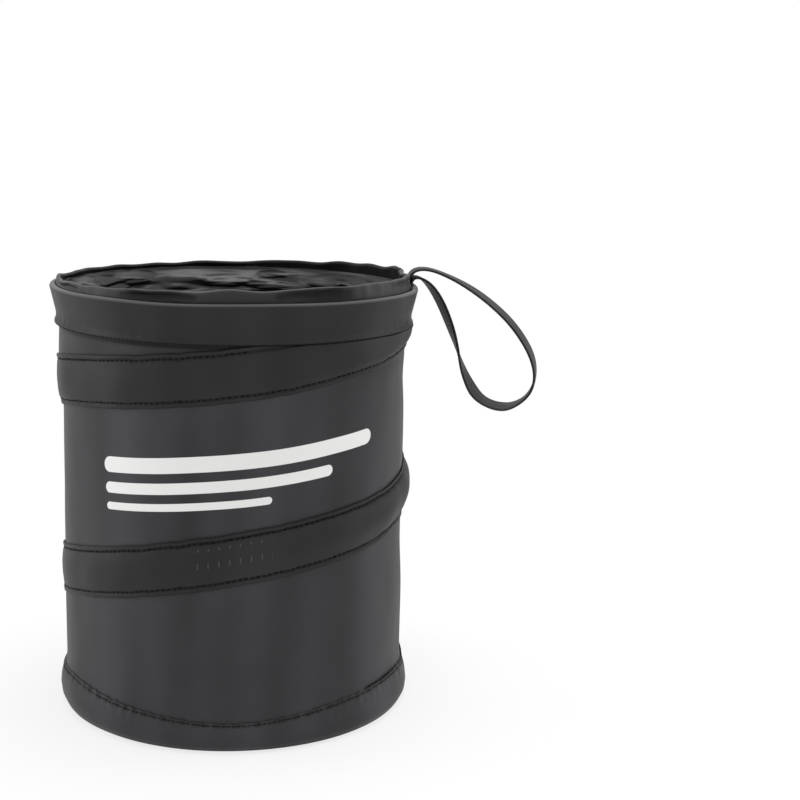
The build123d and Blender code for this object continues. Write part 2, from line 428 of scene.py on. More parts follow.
# %% Strap line
strap_route = [
    (80.35, 191.5),
    (80.6, 204.6),
    (89.0, 208.6),
    (105.2, 202.5),
    (120.6, 193.0),
    (135.2, 179.6),
    (145.7, 162.3),
    (144.6, 146.9),
    (131.9, 139.0),
    (117.9, 143.5),
    (109.8, 157.0),
    (104.8, 174.8),
    (96.9, 193.7),
    (88.9, 203.4),
    (81.75, 203.4),
    (81.75, 191.5),
]
line_data = bpy.data.curves.new("strap_line", "CURVE")
line_data.dimensions = "3D"
spline = line_data.splines.new("NURBS")
spline.points.add(len(strap_route) - 1)
for point, (x, z) in zip(spline.points, strap_route):
    point.co = (x * MM, 0, z * MM, 1)
spline.order_u = 3
spline.use_endpoint_u = True
spline.resolution_u = 14
line_object = bpy.data.objects.new("strap_line", line_data)
line_mesh = bpy.data.meshes.new_from_object(line_object)
strap_path = np.array([vertex.co[:] for vertex in line_mesh.vertices])
bpy.data.objects.remove(line_object)
bpy.data.meshes.remove(line_mesh)
bpy.data.curves.remove(line_data)
steps = np.linalg.norm(np.diff(strap_path, axis=0), axis=1)
strap_length = float(steps.sum())
print("strap", round(strap_length / MM, 1), "mm in", len(strap_path), "points")

# %% [markdown]
# ## The strap's turns
# A limp tape turns as it hangs: it shows its face, then its edge, then its back, so its width seems to
# swell and shrink. The turn could be given as the tilt of the curve's points, but those are few and far
# apart. Here it follows a smooth line through stations of its own, each a share of the way and an angle
# in degrees. The same helper later draws the coil, the seams and all other courses that have to pass
# through given places.

# %% Strap turns
def through(stations, place):
    """A smooth line through stations of place and value, level beyond the first and the last."""
    places, values = np.array(stations).T
    slopes = np.zeros(len(places))
    slopes[1:-1] = (values[2:] - values[:-2]) / (places[2:] - places[:-2])
    held = np.clip(place, places[0], places[-1])
    i = np.clip(np.searchsorted(places, held, side="right") - 1, 0, len(places) - 2)
    span = places[i + 1] - places[i]
    t = (held - places[i]) / span
    leaving = values[i] * (1 + 2 * t) + slopes[i] * span * t
    arriving = values[i + 1] * (3 - 2 * t) - slopes[i + 1] * span * (1 - t)
    return leaving * (1 - t) ** 2 + arriving * t**2


twist_course = [
    (0.0, 0),
    (0.08, 0),
    (0.15, 4),
    (0.22, 12),
    (0.3, 17),
    (0.37, 20),
    (0.42, 20),
    (0.455, 16),
    (0.49, 12),
    (0.52, 8),
    (0.545, 0),
    (0.57, -12),
    (0.61, -19),
    (0.65, -29),
    (0.69, -21),
    (0.72, -12),
    (0.75, -1),
    (0.79, 10),
    (0.83, 15),
    (0.87, 15),
    (0.9, 11),
    (0.94, 0),
    (1.0, 0),
]
covered = np.concatenate([[0], np.cumsum(steps)]) / strap_length
twist = np.radians(through(twist_course, covered))[:, None]
tangent = np.gradient(strap_path, axis=0)
tangent /= np.linalg.norm(tangent, axis=1)[:, None]
side = np.array([0.0, 1.0, 0.0])
face_way = np.cross(tangent, side)
width_way = np.cos(twist) * side + np.sin(twist) * face_way
thick_way = np.cos(twist) * face_way - np.sin(twist) * side
print("strap turns by up to", round(float(np.degrees(np.abs(twist).max()))), "degrees")

# %% [markdown]
# ## The tape's section
# The strap is a narrow woven tape, ten millimetres wide, with thin rounded edges and faint ribs along its
# faces. A plane with a Solidify modifier would have square edges, which catch no light. So half of the
# section is drawn, one round edge and one ribbed face, and the other half is the same turned about.

# %% Tape section
half_width, half_thick = 5.0, 0.6
rib_size, rib_pitch = 0.12, 4.4
lap = half_width - half_thick
rounding = np.linspace(-math.pi / 2, math.pi / 2, 5)
edge = half_thick * np.stack([np.cos(rounding), np.sin(rounding)], axis=1) + (lap, 0)
face_x = np.linspace(lap, -lap, 11)[1:-1]
face_y = half_thick * (1 + rib_size * np.cos(2 * math.pi * face_x / rib_pitch))
half_section = np.concatenate([edge, np.stack([face_x, face_y], axis=1)])
section = np.concatenate([half_section, -half_section])


def round_section(radius, height):
    """Distances along a closed section, in millimetres, from its mean course."""
    r, z = np.mean(radius, axis=0), np.mean(height, axis=0)
    return np.concatenate([[0], np.cumsum(np.hypot(np.diff(r, append=r[0]), np.diff(z, append=z[0])))])


strap_across = round_section(section[None, :, 0], section[None, :, 1])
print("tape section of", len(section), "points,", round(float(strap_across[-1]), 1), "mm round")

# %% [markdown]
# ## Strap
# Now the section is laid along the line, turned at each point. A bevelled curve could do it, but its
# turns would be those of the few control points. Where the loop lies in its own shade, its values of
# painted shade darken it. The strap is limp, and its mesh gets data of its own.

# %% Strap
strap_points = (
    strap_path[:, None, :]
    + section[None, :, 0, None] * MM * width_way[:, None, :]
    + section[None, :, 1, None] * MM * thick_way[:, None, :]
)
shade_course = [(0.1, 0.35), (0.38, 0.3), (0.52, 0), (0.68, 0), (0.77, 0.5), (0.95, 0.5)]
strap_shade = through(shade_course, covered)[:, None]
strap_along = covered * strap_length / MM
strap = skin("hang_loop_strap", strap_points, strap_along, strap_across, ring=False, crease=strap_shade)
seat(strap, "rim", "strap_webbing", webbing, "hang_loop")
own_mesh(strap)
print("strap hangs down to", round(float(strap_points[..., 2].min() / MM), 1), "mm above the floor")

# %% [markdown]
# ## The coil's course
# The spring runs level in the rim, winds down twice and runs level again in the foot. An even helix could
# be made with a Screw modifier, but this one isn't even: its pitch changes with the way the cloth was
# sewn. So its height comes from the same stations of turn and share as in the solid model, and is known
# at any turn.

# %% Coil course
coil_course = [
    (-0.22, 1.0),
    (-0.1, 0.989),
    (0.0, 0.961),
    (0.1, 0.925),
    (0.25, 0.868),
    (0.5, 0.785),
    (1.0, 0.527),
    (1.25, 0.436),
    (1.5, 0.300),
    (1.75, 0.154),
    (2.0, 0.027),
    (2.2, 0.0),
]
foot_coil, rim_coil = 7.0, 195.0


def coil_height(turn):
    """Height of the coil's middle line."""
    return foot_coil + (rim_coil - foot_coil) * through(coil_course, turn)


print("coil heights", coil_height(np.array([-1.0, 0.5, 1.5, 2.5])).round(1))

# %% [markdown]
# ## The foot's seam
# The band at the foot is sewn on by eye: its upper seam dips at the front and rises at both sides of it.
# A level ring would be simpler, but the wavy line is one of the first things that one sees. It is a
# course through stations, which the wall, the sleeve, the band and its stitches all follow.

# %% Foot seam
seam_course = [
    (-0.12, 14.6),
    (0.0, 14.8),
    (0.07, 18.8),
    (0.15, 17.6),
    (0.25, 13.4),
    (0.35, 16.6),
    (0.43, 19.4),
    (0.5, 15.8),
    (0.62, 15.6),
    (0.88, 14.6),
    (1.0, 14.8),
    (1.07, 18.8),
]


def foot_seam(turn):
    """Height of the foot band's upper seam."""
    return through(seam_course, np.mod(turn, 1.0))


print("foot seam at the front and the right", foot_seam(np.array([0.25, 0.0])))

# %% [markdown]
# ## Soft lines
# Sewn cloth has no sharp steps and no repeats. A Displace modifier with a noise texture could roughen it,
# but its noise doesn't know where a seam is. These helpers keep that in hand: an eased step, a rounded
# hump, and a sum of waves. The sizes and phases of the waves are drawn by lot from a seed, so they come
# out the same every time, and each wave fits a whole number of times round the bin.

# %% Soft lines
bin_height = 200


def eased(value, low, high):
    """A smooth step from 0, at low, to 1, at high."""
    t = np.clip((value - low) / (high - low), 0, 1)
    return t * t * (3 - 2 * t)


def hump(value, middle, half):
    """1 at the middle, falling away smoothly to both sides."""
    return np.exp(-(((value - middle) / half) ** 2))


def ripples(turn, seed, around_range, height=0.0, up_range=(0, 0), count=20):
    """Soft, irregular waves over the bin's side, about -1 to 1, that close round each turn."""
    dice = np.random.default_rng(seed)
    total = 0.0
    for _ in range(count):
        waves = dice.integers(around_range[0], around_range[1] + 1)
        climb = dice.uniform(up_range[0], up_range[1]) * dice.choice([-1, 1])
        phase = dice.uniform(0, 2 * math.pi)
        total = total + np.cos(2 * math.pi * (waves * turn + climb * height / bin_height) + phase)
    return total / math.sqrt(count)


print("half an eased step is", eased(0.5, 0, 1), "and half a hump", round(float(hump(0.5, 0, 1)), 3))

# %% [markdown]
# ## The wall's shape
# The wall is a tube of cloth. Below the coil's first turn it hangs plain, above it the rim and the coil
# hold it out by some two millimetres, and the foot draws it out by one. A cylinder with a few sculpted
# dents could show that, but the sleeve, the spring and the stitches have to lie exactly on the wall. A
# function of turn and height gives all of them the same surface.

# %% Wall shape
wall_radius = 80.2
girth = 2 * math.pi * wall_radius


def held_out(turn, height):
    """How far the rim and the coil's first turn hold the wall out."""
    first = np.mod(turn, 1.0)
    start = np.clip(coil_height(first), 148, None)
    past_right = eased(first, 0.1, 0.35)
    at_lower_edge = (2.1 - 0.8 * past_right) * eased(height, start - 14, start - 6)
    at_upper_edge = 0.5 * past_right * eased(height, start, start + 11)
    return (at_lower_edge + at_upper_edge) * (1 - eased(first, 0.55, 0.95))


def wall_reach(turn, height):
    """Outside radius of the wall."""
    below_rim = 1 - eased(height, 165, 182)
    eases_out = 0.4 + 0.5 * (1 - eased(height, 60, 110))
    drawn_out = 0.6 * (1 - eased(height, foot_seam(turn) - 1, foot_seam(turn) + 6))
    broad = 0.28 * ripples(turn, 11, (2, 9), height, (0.2, 2.2))
    fine = 0.06 * ripples(turn, 12, (10, 30), height, (1, 6))
    calm = eased(height, 4, 30) * below_rim
    slack = (eases_out * below_rim + drawn_out) * eased(height, 2, 10)
    to_right = np.clip(np.cos(2 * math.pi * turn), 0, None) ** 2
    hollows = hump(height, 80, 20) + 0.8 * hump(height, 158, 10)
    return wall_radius + held_out(turn, height) + slack + (broad + fine) * calm - to_right * hollows


print("wall at the front, half way up", round(float(wall_reach(0.25, 100.0)), 2), "mm out")

# %% [markdown]
# ## Rings
# The wall, both bands, the hem, the lining and the bottoms all close round the bin. Each could be a lathe
# shape from a Screw modifier, but then it would be the same all round. So a ring is a skin whose sections
# stand at even turns and may differ. A plain sheet of cloth goes up on one face and down on the other.

# %% Rings
def around(turn, radius, height):
    """Points round the bin, in metres: turns go clockwise from +X, seen from above."""
    angle = -2 * math.pi * np.asarray(turn)
    return np.stack([radius * np.cos(angle), radius * np.sin(angle), height + 0 * radius], axis=-1) * MM


def ring_turns(count):
    """Even turns once round the bin, one for each section."""
    return np.linspace(0, 1, count, endpoint=False)[:, None]


def ring_skin(name, turns, reach, height, across, crease=0.0):
    """A skin that closes round the bin, from the radius and height of its sections' points."""
    along = np.linspace(0, 1, len(turns) + 1) * girth
    return skin(name, around(turns, reach, height), along, across, ring=True, crease=crease)


def two_faces(reach, height, offset):
    """Sections of a sheet: up its one face and down the other, which stands off by an offset."""
    faces = np.concatenate([reach, reach[:, ::-1] + offset], axis=1)
    heights = np.concatenate([height, height[:, ::-1]], axis=1)
    return faces, np.broadcast_to(heights, faces.shape)


print("once round the wall is", round(girth, 1), "mm")

# %% [markdown]
# ## Wall
# Now the tube itself, with a real thickness. A Solidify modifier could give it that, but a skin is closed
# anyway, so the inner face is simply laid a cloth's thickness behind the outer one. The rows of points
# lie closer together near the rim, where the wall bends most. Painted shade darkens it just under the
# rim's seam and towards the rim, where the rim's shadow falls, and in a soft upright streak low at the
# front, where the sheen is weakest.

# %% Wall
cloth_thick = 0.6
wall_turns = ring_turns(240)
wall_rise = np.concatenate([np.linspace(0.5, 176, 92), np.linspace(177, 188, 20)])[None, :]
outer_reach = wall_reach(wall_turns, wall_rise)
both_reach, both_rise = two_faces(outer_reach, wall_rise, -cloth_thick)
wall_across = np.concatenate([both_rise[0], both_rise[0, :1]])
# painted shadow of the rim, and a painted darker streak of the sheen low at the front
under_rim = 0.9 * hump(both_rise, 181.0, 0.9) + 0.35 * eased(both_rise, 160, 172)
painted_front_shade = hump(wall_turns, 0.243, 0.03) * (1 - eased(both_rise, 50, 75))
wall_dark = under_rim + 0.2 * painted_front_shade
wall = ring_skin("wall_cloth", wall_turns, both_reach, both_rise, wall_across, wall_dark)
seat(wall, "base", "shell_cloth", printed_cloth, "outer_wall")
print("wall from", round(float(outer_reach.min()), 2), "to", round(float(outer_reach.max()), 2), "mm out")

# %% [markdown]
# ## The sleeve's section
# The sleeve is a strip sewn down along both edges, with the spring inside. Its upper edge is a proud
# double fold, the stitch lines lie in grooves, and between them the cloth is pushed out, furthest above
# its middle. A bump map could draw the grooves, but they show in the outline. So the section's relief is
# geometry: folds, grooves and a bulge that changes along the coil, on a course of its own.

# %% Sleeve section
upper_stitch, lower_stitch = 8.6, -10.2
tail_dip = 3.2
bulge_course = [
    (-0.05, 3.0),
    (0.1, 2.9),
    (0.25, 2.2),
    (0.5, 2.0),
    (1.0, 3.3),
    (1.25, 1.9),
    (1.5, 0.8),
    (1.8, 1.3),
    (2.0, 0.45),
]


def sleeve_place(turn, lie):
    """Height of a point of the sleeve, which narrows at its last end and dips into the foot's seam."""
    narrows = 1 - 0.5 * eased(turn, 1.86, 2.06) * (lie > 0)
    return coil_height(turn) - tail_dip * eased(turn, 1.9, 2.1) + lie * narrows


def from_stitch(lie):
    """Distance to the nearer stitch line."""
    return np.minimum(np.abs(lie - upper_stitch), np.abs(lie - lower_stitch))


def bulge(lie):
    """The share of the sleeve's fullness at a distance above its middle line."""
    inner = np.clip((lie - lower_stitch) / (upper_stitch - lower_stitch), 0, 1)
    return np.sin(math.pi * inner**1.3).clip(0, None) ** 0.75


def sleeve_edges(lie):
    """The relief of the sleeve's two folded edges and its stitch lines."""
    upper_fold = 0.4 * hump(lie, 10.2, 0.9)
    lower_fold = 0.2 * hump(lie, -11.7, 0.8)
    grooves = 0.38 * hump(from_stitch(lie), 0, 0.55)
    return 0.62 + upper_fold + lower_fold - grooves


print("sleeve", round(upper_stitch - lower_stitch, 1), "mm wide between its stitches")

# %% [markdown]
# ## The sleeve's face
# Along the coil the sleeve's edges waver, and small puckers run across it from the stitches. A cloth
# simulation could find such puckers, but slowly, and not always where they are wanted. Here they are
# ripples, short near the stitch lines and long between them. At both ends the strip runs in under a seam,
# so its heights stop at the rim's and the foot's.

# %% Sleeve face
rim_seam = 182.2
sleeve_first, sleeve_last = -0.03, 2.12
sleeve_turns = np.linspace(sleeve_first, sleeve_last, 640)[:, None]
upper_edge, middle_face, lower_edge = (11.1, 7.2, 12), (6.8, -8.2, 20), (-8.6, -12.6, 12)
lies = [np.linspace(*part) for part in (upper_edge, middle_face, lower_edge)]
sleeve_lie = np.concatenate(lies)[None, :]
which_edge = 9 * np.sign(sleeve_lie)


def between_seams(turn, height):
    """Heights, held between the foot's seam and the rim's."""
    return np.clip(height, foot_seam(turn) + 0.1, rim_seam - 0.2)


at_edge = 1 - eased(from_stitch(sleeve_lie), 1, 5)
waver = 0.22 * ripples(sleeve_turns, 23, (12, 60), which_edge, (2, 9)) * at_edge
sleeve_height = between_seams(sleeve_turns, sleeve_place(sleeve_turns, sleeve_lie) + waver)
near_stitch = hump(from_stitch(sleeve_lie), 0, 2.4)
short_puckers = 0.1 * near_stitch * ripples(sleeve_turns, 21, (70, 130), 3 * sleeve_lie, (0, 4))
long_puckers = 0.16 * ripples(sleeve_turns, 22, (6, 24), 4 * sleeve_lie, (0, 1.5)) * (1 - near_stitch)
fullness = through(bulge_course, sleeve_turns) - 0.85 * held_out(sleeve_turns, sleeve_height)
sleeve_reach = wall_reach(sleeve_turns, sleeve_height) + sleeve_edges(sleeve_lie)
sleeve_reach = sleeve_reach + (short_puckers + long_puckers)
sleeve_reach = sleeve_reach + np.clip(fullness, 0.3, None) * bulge(sleeve_lie)
print("sleeve to", round(float(sleeve_reach.max()), 2), "mm out")

# %% [markdown]
# ## Sleeve
# The strip is closed by an under side that lies on the wall, so the piece is a solid tube for the spring.
# Its stitch lines and folded edges get painted shade, for the shadow in the grooves and under the folds.
# That could be painted by hand, but a value from the distance to the stitch follows the seam by itself.

# %% Sleeve
under_lie = np.linspace(-12.3, 10.8, 9)[None, :]
under_height = between_seams(sleeve_turns, sleeve_place(sleeve_turns, under_lie))
under_reach = wall_reach(sleeve_turns, under_height) + 0.02
loop_reach = np.concatenate([sleeve_reach, under_reach], axis=1)
loop_height = np.concatenate([sleeve_height, under_height], axis=1)
uneven = 0.75 + 0.2 * ripples(sleeve_turns, 24, (30, 120), which_edge, (2, 9))
# painted shade in the stitch grooves and under both folded edges
groove_and_edge_shade = uneven * hump(from_stitch(sleeve_lie), 0, 0.85)
groove_and_edge_shade = groove_and_edge_shade + 0.9 * (sleeve_lie > 10.6) + 0.5 * (sleeve_lie < -12.1)
loop_crease = np.concatenate([np.clip(groove_and_edge_shade, 0, 1), np.zeros(under_height.shape)], axis=1)
typical = slice(200, 201)
sleeve = skin(
    "sleeve_cloth",
    around(sleeve_turns, loop_reach, loop_height),
    sleeve_turns[:, 0] * girth,
    round_section(loop_reach[typical], loop_height[typical]),
    ring=False,
    crease=loop_crease,
)
seat(sleeve, "base", "shell_cloth", sleeve_finish, "spring_sleeve")
print("sleeve of", len(sleeve.data.polygons), "faces")

# %% [markdown]
# ## The rim's section
# The band at the mouth flares out over the spring's top turn. It is folded over at its top, and its lower
# edge is a raised seam. Bevels on a cone would round its edges, but not fold them. So its section is
# drawn as corners, a rolled welt below and a hook above, and resampled to even points.

# %% Rim section
def section_points(corners, count):
    """Evenly spaced points on the closed line through a section's corners."""
    closed = np.array([*corners, corners[0]], float)
    spans = np.hypot(*np.diff(closed, axis=0).T)
    marks = np.concatenate([[0], np.cumsum(spans)])
    places = np.linspace(0, marks[-1], count, endpoint=False)
    return np.interp(places, marks, closed[:, 0]), np.interp(places, marks, closed[:, 1])


fold_out, fold_up, fold_radius = 84.6, 198.5, 1.45
fold_angles = np.linspace(0, math.pi, 9)
rim_corners = [
    (83.1, 182.2),
    (83.7, 182.25),
    (84.0, 182.7),
    (84.0, 183.3),
    (83.65, 183.9),
    (83.3, 184.5),
    (83.2, 185.4),
    (83.3, 187.0),
    *[(fold_out + fold_radius * math.cos(a), fold_up + fold_radius * math.sin(a)) for a in fold_angles],
    (83.05, 197.6),
    (83.55, 197.6),
    (83.65, 198.5),
    (84.6, 199.3),
    (85.35, 198.4),
    (82.8, 188.0),
    (82.6, 186.0),
    (82.7, 183.0),
]
rim_r, rim_z = section_points(rim_corners, 110)
print("rim section of", len(rim_r), "points,", round(float(rim_z.max() - rim_z.min()), 1), "mm high")

# %% [markdown]
# ## Rim band
# Carried round, the section flutters a little and is pinched by the stitches of its seam. A Wave modifier
# could bend the ring, but evenly. Ripples of different lengths are added instead, stronger towards the
# free top. The seam gets painted shade, and the fold a paler tone of painted highlight, strongest at the
# sides, where the flare's outer face also gets a faint painted sheen.

# %% Rim band
rim_turns = ring_turns(300)
lift = eased(rim_z, 184, 198)
flutter = 0.22 * ripples(rim_turns, 31, (2, 8)) + 0.08 * ripples(rim_turns, 32, (9, 30))
pinched = 0.1 * ripples(rim_turns, 33, (60, 110)) * hump(rim_z, 185.0, 2.2)
rim_reach = rim_r + flutter * (0.35 + 0.65 * lift) + pinched
rim_rise = rim_z + 0.25 * ripples(rim_turns, 34, (2, 9)) * lift
sideways = np.abs(np.cos(2 * math.pi * rim_turns))
in_seam = np.clip(1.1 * hump(rim_z, 182.2, 0.6), 0, 1)
on_fold = eased(rim_z, 198.5, 199.4) * (rim_r > 83.0)
on_flare = eased(rim_z, 185, 191) * (rim_r > 83.0)
# painted shade in the seam, painted highlight on the fold and painted sheen on the flare at the sides
rim_dark = in_seam - on_fold * (0.4 + 0.5 * sideways**2) - 0.13 * on_flare * sideways**6
rim_across = round_section(rim_reach, rim_rise)
rim_band = ring_skin("rim_band_cloth", rim_turns, rim_reach, rim_rise, rim_across, rim_dark)
seat(rim_band, "rim", "shell_cloth", shell_cloth, "rim_band")
print("rim band to", round(float(rim_reach.max()), 2), "mm out")

# %% [markdown]
# ## Foot band
# The band at the foot bulges round the spring's lowest turn. A torus could stand for it, but its upper
# edge has to follow the wavy seam. So its section is given in shares of the seam's height and stretched
# to it at each turn. Ripples make it swell unevenly, gather it under the seam and fray the edge, and one
# corner at the right front is pushed out.

# %% Foot band
foot_corners = [
    (0.0, 81.0),
    (0.05, 82.4),
    (0.2, 83.8),
    (0.4, 84.3),
    (0.58, 84.1),
    (0.76, 83.5),
    (0.92, 82.7),
    (0.985, 82.2),
    (1.0, 81.8),
    (0.98, 81.4),
    (0.8, 82.6),
    (0.5, 83.3),
    (0.2, 82.8),
    (0.04, 80.8),
]
foot_turns = ring_turns(480)
share, foot_r = section_points(foot_corners, 60)


def turns_from(turn, middle):
    """Distance round the bin from a place on it, in turns, from 0 to a half."""
    return np.abs(np.mod(turn - middle + 0.5, 1.0) - 0.5)


frayed = 0.3 * ripples(foot_turns, 44, (30, 110)) * eased(share, 0.85, 0.97)
foot_height = share * foot_seam(foot_turns) + frayed
swollen = 0.38 * ripples(foot_turns, 41, (3, 16)) * hump(share, 0.5, 0.35)
gathered = 0.17 * ripples(foot_turns, 42, (40, 120)) * eased(share, 0.5, 0.9)
off_corner = np.clip(turns_from(foot_turns, 0.11) / 0.15, 0, 1)
pushed_out = 1.2 * np.cos(math.pi / 2 * off_corner) ** 2 * (1 - eased(share, 0.15, 0.75))
foot_reach = foot_r + swollen + gathered + pushed_out
# painted shade in the groove under the foot's seam and along the band's top edge
seam_shade_strength = 0.75 + 0.5 * ripples(foot_turns, 43, (40, 140))
foot_dark = np.clip(seam_shade_strength * hump(share, 0.92, 0.05) + 0.5 * (share > 0.98), 0, 1)
foot_across = round_section(foot_reach, foot_height)
foot_band = ring_skin("foot_band_cloth", foot_turns, foot_reach, foot_height, foot_across, foot_dark)
seat(foot_band, "base", "shell_cloth", foot_cloth, "bottom_band")
print("foot band to", round(float(foot_reach.max()), 2), "mm out")

# %% [markdown]
# ## The hem's section
# The lining's top is sewn into a narrow rolled hem, which stands a little above the rim, and its skirt
# goes down behind the rim band. A torus could stand for the roll, but not for the skirt. So its section
# is drawn as corners too, and each point knows by how much it stands above the rim and whether it belongs
# to the skirt.

# %% Hem section
hem_corners = [
    (81.9, 192.0),
    (82.4, 195.0),
    (83.0, 198.6),
    (83.0, 199.6),
    (82.85, 200.7),
    (82.8, 201.7),
    (82.7, 202.8),
    (82.3, 203.6),
    (81.8, 203.95),
    (81.2, 203.8),
    (80.75, 203.2),
    (80.75, 202.5),
    (81.3, 201.0),
    (81.9, 199.2),
    (81.9, 195.0),
    (81.4, 192.0),
]
hem_r, hem_z = section_points(hem_corners, 60)
stands = eased(hem_z, 199.6, 203.0)
skirt = (hem_r > 82.2) * (1 - eased(hem_z, 199.4, 200.6))
print("hem section of", len(hem_r), "points,", int(np.sum(skirt > 0.5)), "of them in its skirt")

# %% [markdown]
# ## The hem's gathers
# The hem is longer than the rim, so it is gathered: in eight places it is slack and falls in. Noise would
# make it waver everywhere alike. Here each gather is placed by its own turn, and fine ripples do the
# rest. The strap's two tails go down between the hem and the rim band, so there the hem makes room for
# them, all but its skirt.

# %% Hem gathers
gather_turns = (0.06, 0.184, 0.316, 0.44, 0.56, 0.69, 0.82, 0.93)
gather_half = 0.036
tail_shift = 3.2


def slackness(turn):
    """1 in the middle of each gather, where the hem is slack, and 0 between them."""
    total = 0.0
    for middle in gather_turns:
        total = total + np.clip(1 - (turns_from(turn, middle) / gather_half) ** 2, 0, None)
    return total


def tail_room(turn):
    """1 beside the strap's tails and 0 away from them."""
    return 1 - eased(turns_from(turn, 0.0) * girth, 5.6, 15.0)


hem_turns = ring_turns(400)
gathers = 0.4 * ripples(hem_turns, 51, (7, 18)) - 0.1
hem_reach = hem_r + gathers * stands - tail_shift * tail_room(hem_turns) * (1 - skirt)
hem_reach = hem_reach + 0.2 * ripples(hem_turns, 52, (16, 46), hem_z, (0, 3)) * stands
slack = slackness(hem_turns) * hump(hem_z, 201.7, 1.0) * (hem_r > 81.6)
hem_reach = hem_reach - 1.3 * slack
print("hem gathered in", len(gather_turns), "places")

# %% [markdown]
# ## The hem's shades
# At the front the hem lies in one flat fold: its middle is paler, dark wedges open to both sides under a
# slanting line, and further round its dull outer face is grainy. Lamps alone can't show that on so narrow
# a roll. So it is painted into the colour: painted shade in the wedges and the gathers, painted
# highlights on the middle, on the fold's edge and on the top of the roll where it faces the front, and a
# paler grain further round, each as a product of eased steps.

# %% Hem shades
fold_half, fold_low, fold_climb = 0.034, 199.6, 4.2
from_front = turns_from(hem_turns, 0.25)
fold_line = fold_low + fold_climb * np.clip((from_front - fold_half) / 0.05, 0, 1)
below_line = eased(fold_line - hem_z, 0, 0.5)
outer_face = (hem_r > 82.0) * eased(hem_z, 199.8, 200.8)
wedges = eased(from_front, fold_half, 0.04) * (1 - eased(from_front, 0.09, 0.097))
under_fold = below_line * (hem_r > 81.6) * wedges
over_fold = (1 - below_line) * (1 - eased(from_front, 0.08, 0.095))
fold_edge = hump(hem_z, fold_line, 0.3) * eased(from_front, fold_half, 0.045)
fold_edge = fold_edge * (1 - eased(from_front, 0.085, 0.095))
facing_front = eased(np.sin(2 * math.pi * hem_turns), -0.2, 0.6)
# painted highlight along the top of the roll, where it faces the front
painted_top_highlight = facing_front * hump(hem_z, 203.9, 0.3)
grainy = 0.2 + 0.06 * ripples(hem_turns, 54, (50, 120), hem_z, (0, 8))
grainy = np.clip(grainy, 0, None) * eased(from_front, 0.095, 0.11)
# painted shade in the gathers and wedges, painted highlights on the top, the middle and the fold's edge
hem_dark = np.maximum(0.9 * slack, 0.85 * under_fold) - 0.55 * painted_top_highlight
hem_dark = hem_dark - (grainy + 0.17 * over_fold + 0.15 * fold_edge) * outer_face
print("hem creases from", round(float(hem_dark.min()), 2), "to", round(float(hem_dark.max()), 2))

# %% [markdown]
# ## Hem
# The rolled edge isn't level either: it stands highest towards the right, sinks to the left and to the
# back, and wavers on its way. The whole ring could be tilted as an object, but its skirt has to stay down
# behind the rim band. So only the part that stands above the rim is lifted.

# %% Hem
to_back = np.clip(-np.sin(2 * math.pi * hem_turns), 0, None)
tilt = np.sin(2 * math.pi * hem_turns) + 1.9 * np.cos(2 * math.pi * hem_turns)
lifted = tilt + 0.35 - 0.9 * to_back**2
hem_rise = hem_z + (lifted + 0.33 * ripples(hem_turns, 53, (8, 26))) * stands
hem_across = round_section(hem_reach, hem_rise)
hem = ring_skin("hem_cloth", hem_turns, hem_reach, hem_rise, hem_across, hem_dark)
seat(hem, "rim", "liner_cloth", hem_satin, "liner_hem")
print("hem top from", round(float(hem_rise.max(axis=1).min()), 2), "to", round(float(hem_rise.max()), 2))

# %% [markdown]
# ## The lining's folds
# The lining is thin satin cloth, longer than the wall, so it lies in level pleats that wander, and in
# lens-shaped puffs between sharp creases. A cloth simulation could drop it into the bin, but its folds
# would then miss those of the solid. So the pleats are waves of the solid's own height, and the root of a
# squared ripple gives the puffs their round backs and sharp creases.

# %% Lining folds
pleat_height, pleat_depth = 18.94, 3.6
lining_foot, lining_top = 1.4, 199.4
lining_turns = ring_turns(320)
low_rows, mouth_rows = np.linspace(lining_foot, 180, 90), np.linspace(180.8, lining_top, 46)
lining_up = np.concatenate([low_rows, mouth_rows])[None, :]
wander = 0.22 * ripples(lining_turns, 61, (3, 9), lining_up, (0.5, 3.0))
pleats = 0.5 - 0.5 * np.cos(math.pi * ((lining_up - lining_foot) / pleat_height + wander))
swelling = 0.8 + 0.25 * ripples(lining_turns, 62, (4, 12), lining_up, (1, 5))
creases = ripples(lining_turns, 63, (5, 14), lining_up, (14, 30), 16)
lenses = np.sqrt(creases**2 + 0.03)
fine = ripples(lining_turns, 64, (14, 36), lining_up, (10, 30), 16)
above_foot = eased(lining_up, lining_foot, 16)
folds = pleat_depth * pleats * swelling * (above_foot * (1 - eased(lining_up, 172, 182)))
wrinkles = (0.75 * lenses + 0.18 * fine) * (above_foot * (1 - eased(lining_up, 196, 199)))
print("pleats", pleat_height, "mm high and up to", round(float(folds.max()), 1), "mm deep")

# %% [markdown]
# ## The lining's mouth
# Just under the hem the spare cloth puffs in all round the mouth and lies in many small tucks. They could
# be modelled one by one with a sculpt brush. Here each tuck is a small rounded lens, and its place, size
# and depth are drawn by lot from one seed, so no two are alike and they come out the same every time.

# %% Lining mouth
mouth_height = 187.5 + 1.2 * ripples(lining_turns, 65, (3, 10))
mouth_size = 3.4 + 0.7 * ripples(lining_turns, 66, (4, 13))
mouth_puff = mouth_size * hump(lining_up, mouth_height, 6.5)
tuck_count = 84
dice = np.random.default_rng(67)
tucks = 0.0
for _ in range(tuck_count):
    middle = dice.uniform(0, 1)
    height = dice.uniform(181, 197.0)
    half_wide = dice.uniform(8, 22) / girth
    half_high = dice.uniform(1.4, 2.6)
    depth = dice.uniform(1.0, 2.1)
    off_middle = turns_from(lining_turns, middle) / half_wide
    lens = np.clip(1 - off_middle**2 - ((lining_up - height) / half_high) ** 2, 0, None)
    tucks = tucks + depth * lens**0.8
print("mouth puffs in by up to", round(float(mouth_puff.max()), 1), "mm, with", tuck_count, "tucks")

